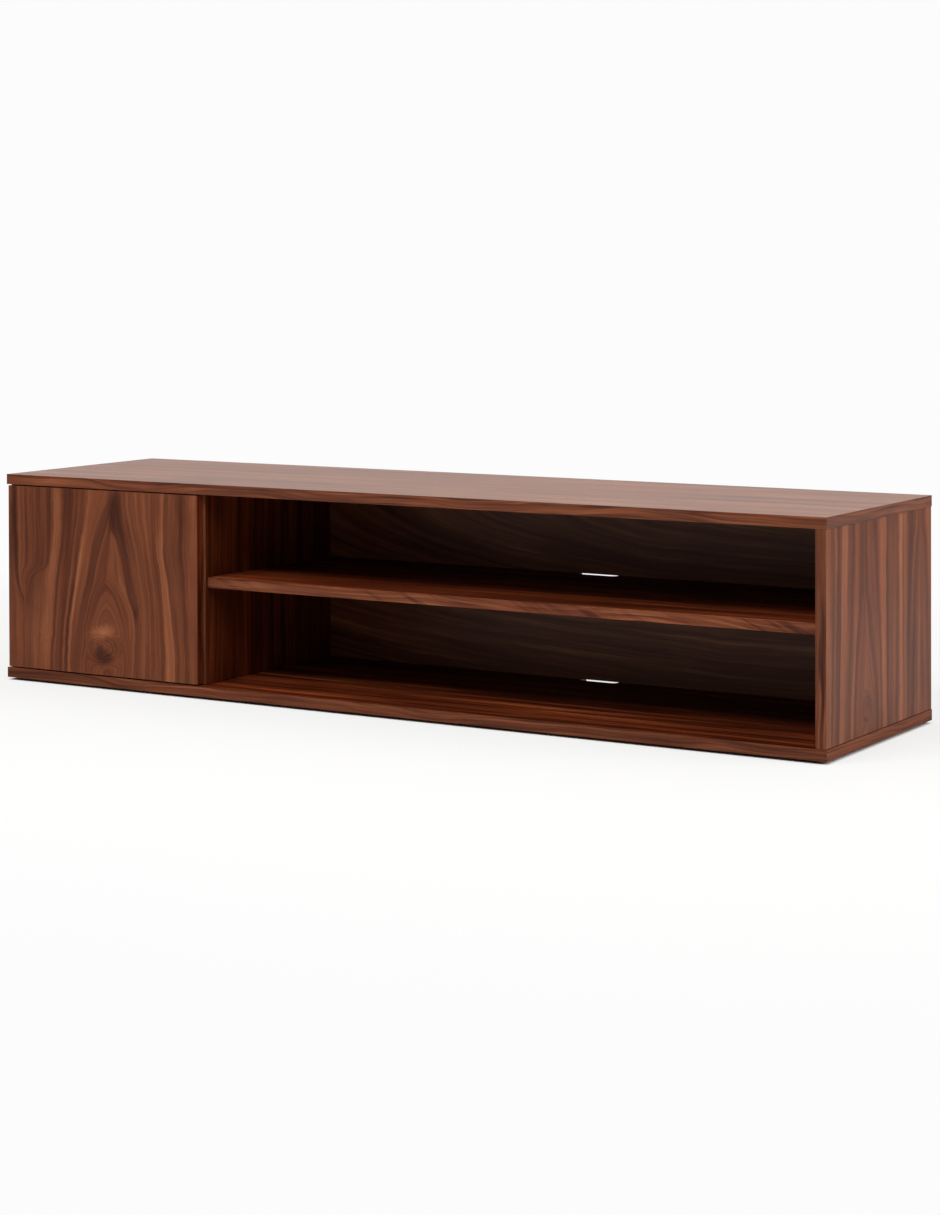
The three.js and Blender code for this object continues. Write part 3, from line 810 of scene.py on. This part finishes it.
def beech_dowel():
    """Beech rod: pale pinkish wood with short darker flecks."""
    material = new_material("beech_dowel")
    g = Graph(material.node_tree)
    place, _ = g.object_mm()
    grain = g.solid_noise(place, BEECH_GRAIN)
    flecks = g.step(g.solid_noise(place, BEECH_FLECKS), *FLECK_FADE)
    level = g.scaled(flecks, -0.35, g.scaled(grain, 0.8, 0.25))
    roughness = g.scaled(grain, 0.2, 0.45)
    plain_surface(g, g.ramp(level, BEECH_TONES), roughness, grain, bump_depth=0.00005)
    return material


# Birch plywood: the grain of its face, its plies from the face inwards, and their cut edges
BIRCH_SWAY = Grain(0.006, 0.03, 2.0, 0.5)
BIRCH_SWAY_REACH = 5.0
BIRCH_RING_RATES = (0.004, 0.22)
BIRCH_FIBRES = Grain(0.05, 1.9, 2.0, 0.6)
BIRCH_TONES = ((0.2, (190, 150, 104)), (0.55, (216, 182, 138)), (0.8, (228, 199, 158)))
PLY_START = 0.35
PLY_THICKNESS = 1.4
PLY_FADE = (0.55, 0.85)
PLY_STREAKS = Texture((0.35, 2.2, 0.35), 2.0, 0.6)
PLY_LIGHT, PLY_DARK, PLY_STREAK = (206, 172, 128), (150, 106, 66), (178, 132, 88)


def birch_plywood():
    """Birch plywood: a pale face with soft level grain, and its plies seen on the edges."""
    material = new_material("birch_plywood")
    g = Graph(material.node_tree)
    place, normal = g.object_mm()
    x, y, z = place
    sway = g.centred(g.face_noise(x, z, BIRCH_SWAY, seed=2.0))
    along_rate, across_rate = BIRCH_RING_RATES
    swayed = g.scaled(z, across_rate, g.times(sway, BIRCH_SWAY_REACH))
    path = g.vector(g.times(x, along_rate), swayed, 6.0)
    rings = g.noise(path, detail=3.0, roughness=0.6)
    fibres = g.face_noise(x, z, BIRCH_FIBRES, seed=8.0)
    level = g.scaled(fibres, 0.25, g.scaled(rings, 0.9, -0.1))
    pale = g.ramp(level, BIRCH_TONES)
    layer = g.step(g.math("PINGPONG", g.plus(y, PLY_START), PLY_THICKNESS), *PLY_FADE)
    streak = g.times(g.solid_noise(place, PLY_STREAKS), 0.4)
    cut = g.mix_colour(layer, linear(PLY_LIGHT), linear(PLY_DARK))
    cut = g.mix_colour(streak, cut, linear(PLY_STREAK))
    colour = g.mix_colour(g.facing(normal[Y]), cut, pale)
    roughness = g.scaled(fibres, 0.15, 0.48)
    plain_surface(g, colour, roughness, g.plus(fibres, layer), bump_depth=0.0001)
    return material


METAL_STAINS = Texture((0.12, 0.12, 0.12), 3.0, 0.6)


def plated(name, dark, light, brush_rate, roughness):
    """Drawn or pressed metal: fine brushing along the length, with soft stains."""
    material = new_material(name)
    g = Graph(material.node_tree)
    place, _ = g.object_mm()
    lines = g.solid_noise(place, Texture((0.35, brush_rate, brush_rate), 3.0, 0.65))
    stains = g.solid_noise(place, METAL_STAINS)
    level = g.scaled(stains, 0.7, g.scaled(lines, 0.6, -0.15))
    colour = g.ramp(level, ((0.2, dark), (0.8, light)))
    brushed = g.scaled(lines, 0.22, roughness)
    plain_surface(g, colour, brushed, lines, bump_depth=0.00003, metallic=1.0)
    return material


PLASTIC_GRAIN = Texture((3.0, 3.0, 3.0), 2.0, 0.6)
PLASTIC_MOTTLE = Texture((0.16, 0.16, 0.16), 3.0, 0.5)


def moulded(name, dark, light, roughness):
    """Moulded plastic with a fine spark-eroded grain and faint mottling."""
    material = new_material(name)
    g = Graph(material.node_tree)
    place, _ = g.object_mm()
    grain = g.solid_noise(place, PLASTIC_GRAIN)
    mottle = g.solid_noise(place, PLASTIC_MOTTLE)
    level = g.scaled(grain, 0.3, g.times(mottle, 0.7))
    colour = g.ramp(level, ((0.3, dark), (0.7, light)))
    plain_surface(g, colour, g.scaled(grain, 0.18, roughness), grain, bump_depth=0.00006)
    return material


finishes = {
    "beech": beech_dowel(),
    "birch_ply": birch_plywood(),
    "brass": plated("brushed_brass", (104, 80, 46), (168, 136, 84), 4.0, 0.30),
    "steel": plated("zinc_plated_steel", (140, 142, 144), (196, 197, 196), 3.0, 0.30),
    "grey_plastic": moulded("grey_moulding", (150, 150, 147), (176, 176, 172), 0.42),
    "black_plastic": moulded("black_moulding", (20, 20, 21), (38, 38, 39), 0.38),
}
for node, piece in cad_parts.items():
    slot = piece.data.materials[0].name
    piece.data.materials.clear()
    piece.data.materials.append(walnut[node] if node in walnut else finishes[slot])

# Eased edges: each piece's radius in metres
EASED = {
    **{node: 0.0008 for node in walnut},
    "cabinet_cleat": 0.0006,
    "wall_cleat": 0.0006,
    "latch_housing": 0.0008,
    "latch_plate": 0.0003,
    "upper_hinge_case_leaf": 0.0003,
    "upper_hinge_door_leaf": 0.0003,
    "lower_hinge_case_leaf": 0.0003,
    "lower_hinge_door_leaf": 0.0003,
    **{f"glide_{number}": 0.0007 for number in range(1, 7)},
}
WELD_DISTANCE = 0.00001
EDGE_SEGMENTS = 2
EDGE_ANGLE = 1.0
for node, radius in EASED.items():
    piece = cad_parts[node]
    weld = piece.modifiers.new("Weld", "WELD")
    weld.merge_threshold = WELD_DISTANCE
    bevel = piece.modifiers.new("Bevel", "BEVEL")
    bevel.width = radius
    bevel.segments = EDGE_SEGMENTS
    bevel.limit_method = "ANGLE"
    bevel.angle_limit = EDGE_ANGLE
    normals = piece.modifiers.new("Normals", "WEIGHTED_NORMAL")
    normals.keep_sharp = False


def lathe(shape, profile, sides):
    """Rings of vertices round Z from (radius, height) pairs, joined by faces."""
    rings = [
        [
            shape.verts.new((r * math.cos(a), r * math.sin(a), h))
            for a in (2 * math.pi * k / sides for k in range(sides))
        ]
        for r, h in profile
    ]
    for lower, upper in zip(rings, rings[1:]):
        for k in range(sides):
            n = (k + 1) % sides
            shape.faces.new((lower[k], lower[n], upper[n], upper[k]))
    return rings


SHARP_ANGLE = 0.6


def soft_mesh(name, shape, finish):
    """A mesh of the shape with its finish, shaded smooth but for its sharp edges."""
    mesh = bpy.data.meshes.new(name)
    shape.to_mesh(mesh)
    shape.free()
    mesh.shade_smooth()
    mesh.set_sharp_from_angle(angle=SHARP_ANGLE)
    mesh.materials.append(finishes[finish])
    return mesh


# A screw head: how deep its rim is sunk, the places of its rings from rim to crown, and the
# cross recess. Shares are of its radius, and the height of the cross's floor is of its height
HEAD_SIDES = 32
HEAD_SUNK = 0.0004
HEAD_CROWN = 0.58
HEAD_STEPS = (0.0, 0.12, 0.28, 0.48, 0.72, 1.0)
CROSS_ARM = 0.46
CROSS_HALF = 0.12
CROSS_TAPER = 0.72
CROSS_FLOOR = 0.12


def screw_head(name, radius, height, dome, finish):
    """A domed screw head with a cross recess, standing on the plane z = 0."""
    shape = bmesh.new()
    profile = [(radius, -HEAD_SUNK)]
    profile += [
        (radius * (1 - (1 - HEAD_CROWN) * t), height * (1 - (1 - t) ** dome))
        for t in HEAD_STEPS
    ]
    rings = lathe(shape, profile, HEAD_SIDES)
    shape.faces.new(list(reversed(rings[0])))
    arm, half = CROSS_ARM * radius, CROSS_HALF * radius
    outline = []
    for turn in range(4):
        c, s = round(math.cos(turn * math.pi / 2)), round(math.sin(turn * math.pi / 2))
        for px, py in ((half, half), (half, arm), (-half, arm)):
            outline.append((px * c - py * s, px * s + py * c))
    rim = [shape.verts.new((px, py, height)) for px, py in outline]
    floor_height = height * CROSS_FLOOR
    foot = [
        shape.verts.new((px * CROSS_TAPER, py * CROSS_TAPER, floor_height))
        for px, py in outline
    ]
    count = len(rim)
    edges = [shape.edges.new((rim[k], rim[(k + 1) % count])) for k in range(count)]
    top = rings[-1]
    edges += [shape.edges.get((top[k], top[(k + 1) % len(top)])) for k in range(len(top))]
    bmesh.ops.triangle_fill(shape, edges=edges, use_beauty=True, normal=(0, 0, 1))
    for k in range(count):
        n = (k + 1) % count
        shape.faces.new((rim[k], foot[k], foot[n], rim[n]))
    shape.faces.new(foot)
    bmesh.ops.recalc_face_normals(shape, faces=shape.faces)
    return soft_mesh(name, shape, finish)


def stand(name, mesh, at, facing, body, turn=0.0):
    """A piece that stands on a surface at a point in mm, facing along a direction."""
    piece = bpy.data.objects.new(name, mesh)
    scene.collection.objects.link(piece)
    spin = Matrix.Rotation(math.radians(turn), 4, "Z")
    aim = Vector(facing).to_track_quat("Z", "Y").to_matrix().to_4x4()
    piece.matrix_world = Matrix.Translation(Vector(at) / MM) @ aim @ spin
    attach(piece, body)


# Screws: each stands on the face that it holds, with its head's own turn in degrees
UP, DOWN = (0, 0, 1), (0, 0, -1)
TO_LEFT, TO_FRONT, TO_WALL = (-1, 0, 0), (0, -1, 0), (0, 1, 0)
LOW, HIGH = 0, 1

HINGE_Y = -201.0
HINGE_SCREW_XS = (-776.0, -751.0)
HINGE_LEAVES = (
    ("upper_case", "upper_hinge_case_leaf", LOW, DOWN, "case", 20),
    ("upper_door", "upper_hinge_door_leaf", HIGH, UP, "door", 55),
    ("lower_door", "lower_hinge_door_leaf", LOW, DOWN, "door", 35),
    ("lower_case", "lower_hinge_case_leaf", HIGH, UP, "case", 10),
)
brass_head = screw_head("brass_head", radius=0.0027, height=0.0006, dome=2.0, finish="brass")
for number, at_x in enumerate(HINGE_SCREW_XS, 1):
    for name, leaf, corner, facing, body, turn in HINGE_LEAVES:
        at = (at_x, HINGE_Y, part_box(leaf)[corner][Z] * MM)
        screw = f"{name}_hinge_screw_{number}"
        stand(screw, brass_head, at, facing, body, turn + 40 * number)

steel_head = screw_head("steel_head", radius=0.0035, height=0.0011, dome=2.4, finish="steel")
LATCH_EAR_X, LATCH_SCREW_Z = -402.7, 282.5
LATCH_SCREW_YS = (-178.0, -134.0)
for number, at_y in enumerate(LATCH_SCREW_YS, 1):
    at = (LATCH_EAR_X, at_y, LATCH_SCREW_Z)
    stand(f"latch_screw_{number}", steel_head, at, TO_LEFT, "case", 15 + 30 * number)

BACK_REAR_Y = 196.0
BACK_SCREWS = (
    (-377.5, 60.0),
    (-377.5, 140.0),
    (-180.0, 198.5),
    (100.0, 198.5),
    (380.0, 198.5),
    (660.0, 198.5),
)
for number, (at_x, at_z) in enumerate(BACK_SCREWS, 1):
    at = (at_x, BACK_REAR_Y, at_z)
    stand(f"back_screw_{number}", steel_head, at, TO_WALL, "case", 25 * number)

cleat_head = screw_head("cleat_head", radius=0.0045, height=0.0012, dome=2.0, finish="steel")
CLEAT_FRONT_Y, CLEAT_SCREW_Z = 198.0, 267.0
CLEAT_FIRST_X, CLEAT_PITCH, CLEAT_SCREWS = -550.0, 275.0, 5
for number in range(CLEAT_SCREWS):
    at = (CLEAT_FIRST_X + CLEAT_PITCH * number, CLEAT_FRONT_Y, CLEAT_SCREW_Z)
    screw = f"wall_cleat_screw_{number + 1}"
    stand(screw, cleat_head, at, TO_FRONT, "case", 18 * number)

# Soft stops between the door and the divider
BUMPER_SIDES = 28
BUMPER_TIP = 0.0020
BUMPER_PROFILE = (
    (0.0036, -0.0002),
    (0.0040, 0.0),
    (0.0040, 0.0009),
    (0.0036, 0.0014),
    (0.0027, 0.0018),
    (0.0014, 0.00197),
)
BUMPER_X, DOOR_REAR_Y = -377.5, -194.0
BUMPER_ZS = (45.0, 330.0)
shape = bmesh.new()
rings = lathe(shape, BUMPER_PROFILE, BUMPER_SIDES)
shape.faces.new(list(reversed(rings[0])))
tip = shape.verts.new((0.0, 0.0, BUMPER_TIP))
for k in range(BUMPER_SIDES):
    shape.faces.new((rings[-1][k], rings[-1][(k + 1) % BUMPER_SIDES], tip))
bumper_mesh = soft_mesh("bumper", shape, "black_plastic")
for number, at_z in enumerate(BUMPER_ZS, 1):
    at = (BUMPER_X, DOOR_REAR_Y, at_z)
    stand(f"door_bumper_{number}", bumper_mesh, at, TO_WALL, "door")

# Levels of the light: the white background, the light from overhead and from level, and
# the floor's grey, as it lights the console and as the camera sees it
WHITE = 0.975
OVERHEAD_LIGHT = 0.80
LEVEL_LIGHT = 0.25
FLOOR_BOUNCE = 0.55
FLOOR_SEEN = 0.60

# Floor: a plain light grey that takes the console's shadow. The camera sees it as the
# background by one share just past the foot of the case, and by a second one further out
FLOOR_CELLS = 8
FLOOR_HALF = 30.0
FOOT_HALF_X, FOOT_HALF_Y = 0.795, 0.205
NEAR_FADE = (0.0, 0.01)
NEAR_SHARE = 0.72
FAR_FADE = (0.3, 1.6)
FAR_SHARE = 0.28
floor_mesh = bpy.data.meshes.new("floor")
shape = bmesh.new()
bmesh.ops.create_grid(shape, x_segments=FLOOR_CELLS, y_segments=FLOOR_CELLS, size=FLOOR_HALF)
shape.to_mesh(floor_mesh)
shape.free()
floor = bpy.data.objects.new("floor", floor_mesh)
scene.collection.objects.link(floor)
material = new_material("pale_floor")
floor_mesh.materials.append(material)
g = Graph(material.node_tree)
where = g.split(g.add("ShaderNodeTexCoord").outputs["Object"])
away_x = g.math("MAXIMUM", g.minus(g.absolute(where[X]), FOOT_HALF_X), 0.0)
away_y = g.math("MAXIMUM", g.minus(g.absolute(where[Y]), FOOT_HALF_Y), 0.0)
away = g.math("SQRT", g.plus(g.times(away_x, away_x), g.times(away_y, away_y)))
near = g.step(away, *NEAR_FADE)
far = g.step(away, *FAR_FADE)
share = g.plus(g.times(near, NEAR_SHARE), g.times(far, FAR_SHARE))
glow = g.add("ShaderNodeEmission")
glow.inputs["Color"].default_value = (WHITE, WHITE, WHITE, 1.0)
lit = g.add("ShaderNodeBsdfDiffuse")
path = g.add("ShaderNodeLightPath")
tint = g.mix(path.outputs["Is Camera Ray"], FLOOR_BOUNCE, FLOOR_SEEN)
g.feed(lit.inputs["Color"], g.vector(tint, tint, tint))
seen_white = g.times(path.outputs["Is Camera Ray"], share)
blend = g.join("ShaderNodeMixShader", seen_white, lit.outputs[0], glow.outputs[0])
g.finish("ShaderNodeOutputMaterial", blend)

# World: soft light from overhead, a white background, and a room in the gloss that is
# bright behind the console at its left and dark in front of it at its right
GLOSS_MIDDLE, GLOSS_BY_X, GLOSS_BY_Y = 0.25, -0.60, 0.50
GLOSS_DARKEST, GLOSS_BRIGHTEST = 0.08, 1.0
SKY_FADE = (0.0, 0.9)
PLAIN_WHITE = (1.0, 1.0, 1.0, 1.0)
world = bpy.data.worlds.new("studio")
scene.world = world
world.use_nodes = True
world.node_tree.nodes.clear()
g = Graph(world.node_tree)
path = g.add("ShaderNodeLightPath")
direction = g.add("ShaderNodeTexCoord").outputs["Generated"]
dx, dy, dz = g.split(direction)
shown = g.scaled(dy, GLOSS_BY_Y, g.scaled(dx, GLOSS_BY_X, GLOSS_MIDDLE))
shown = g.math("MAXIMUM", g.math("MINIMUM", shown, GLOSS_BRIGHTEST), GLOSS_DARKEST)
seen = g.mix(path.outputs["Is Glossy Ray"], WHITE, shown)
overhead = g.step(dz, *SKY_FADE)
light = g.add("ShaderNodeBackground")
light.inputs["Color"].default_value = PLAIN_WHITE
g.feed(light.inputs["Strength"], g.mix(overhead, LEVEL_LIGHT, OVERHEAD_LIGHT))
white = g.add("ShaderNodeBackground")
white.inputs["Color"].default_value = PLAIN_WHITE
g.feed(white.inputs["Strength"], seen)
view = g.math("MAXIMUM", path.outputs["Is Camera Ray"], path.outputs["Is Glossy Ray"])
view = g.math("MAXIMUM", view, path.outputs["Is Transmission Ray"])
blend = g.join("ShaderNodeMixShader", view, light.outputs[0], white.outputs[0])
g.finish("ShaderNodeOutputWorld", blend)


def lamp(name, at, target, size, watts, colour, in_gloss=True):
    """A rectangular lamp that looks at a target. in_gloss says if reflections show it."""
    data = bpy.data.lights.new(name, "AREA")
    data.shape = "RECTANGLE"
    data.size, data.size_y = size
    data.energy = watts
    data.color = colour
    holder = bpy.data.objects.new(name, data)
    scene.collection.objects.link(holder)
    holder.location = at
    holder.rotation_mode = "QUATERNION"
    holder.rotation_quaternion = (Vector(target) - Vector(at)).to_track_quat("-Z", "Y")
    holder.visible_glossy = in_gloss


# The side lamp is low beside the console, where it would glare along the top board
lamp(
    "side", at=(3.4, 0.3, 1.5), target=(0.8, 0.0, 0.2), size=(1.8, 1.8), watts=85.0,
    colour=(1.0, 0.97, 0.91), in_gloss=False,
)
lamp(
    "front", at=(-0.3, -2.4, 2.8), target=(-0.1, 0.0, 0.15), size=(2.6, 1.2), watts=120.0,
    colour=(1.0, 0.98, 0.94),
)
lamp(
    "over", at=(0.0, 0.6, 2.8), target=(0.0, 0.1, 0.0), size=(3.0, 1.4), watts=12.0,
    colour=(1.0, 1.0, 1.0),
)

# Camera, as fitted to the photograph's edges: the image's sizes in pixels, the sensor in mm,
# the place and the clips in metres, the angles in degrees
IMAGE_HEIGHT = 1215
FOCAL_PX = 2684.66
PRINCIPAL_Y = 285.56
SENSOR = 36.0
CAMERA_AT = Vector((2.4279, -3.8997, 0.7683))
CAMERA_YAW, CAMERA_PITCH, CAMERA_ROLL = 31.368, 0.723, 0.174
CLIP_NEAR, CLIP_FAR = 0.05, 200.0
yaw, pitch, roll = (math.radians(a) for a in (CAMERA_YAW, CAMERA_PITCH, CAMERA_ROLL))
level_ahead = Vector((-math.sin(yaw), math.cos(yaw), 0.0))
level_right = Vector((math.cos(yaw), math.sin(yaw), 0.0))
down = Vector((0.0, 0.0, -1.0))
ahead = math.cos(pitch) * level_ahead + math.sin(pitch) * down
below = -math.sin(pitch) * level_ahead + math.cos(pitch) * down
right = math.cos(roll) * level_right + math.sin(roll) * below
below = -math.sin(roll) * level_right + math.cos(roll) * below
camera_data = bpy.data.cameras.new("camera")
camera_data.sensor_width = SENSOR
camera_data.lens = FOCAL_PX * SENSOR / IMAGE_HEIGHT
camera_data.shift_y = (PRINCIPAL_Y - IMAGE_HEIGHT / 2) / IMAGE_HEIGHT
camera_data.clip_start, camera_data.clip_end = CLIP_NEAR, CLIP_FAR
camera = bpy.data.objects.new("camera", camera_data)
scene.collection.objects.link(camera)
turned = Matrix((right, -below, -ahead)).transposed().to_4x4()
camera.matrix_world = Matrix.Translation(CAMERA_AT) @ turned
scene.camera = camera
scene.view_settings.view_transform = "Standard"
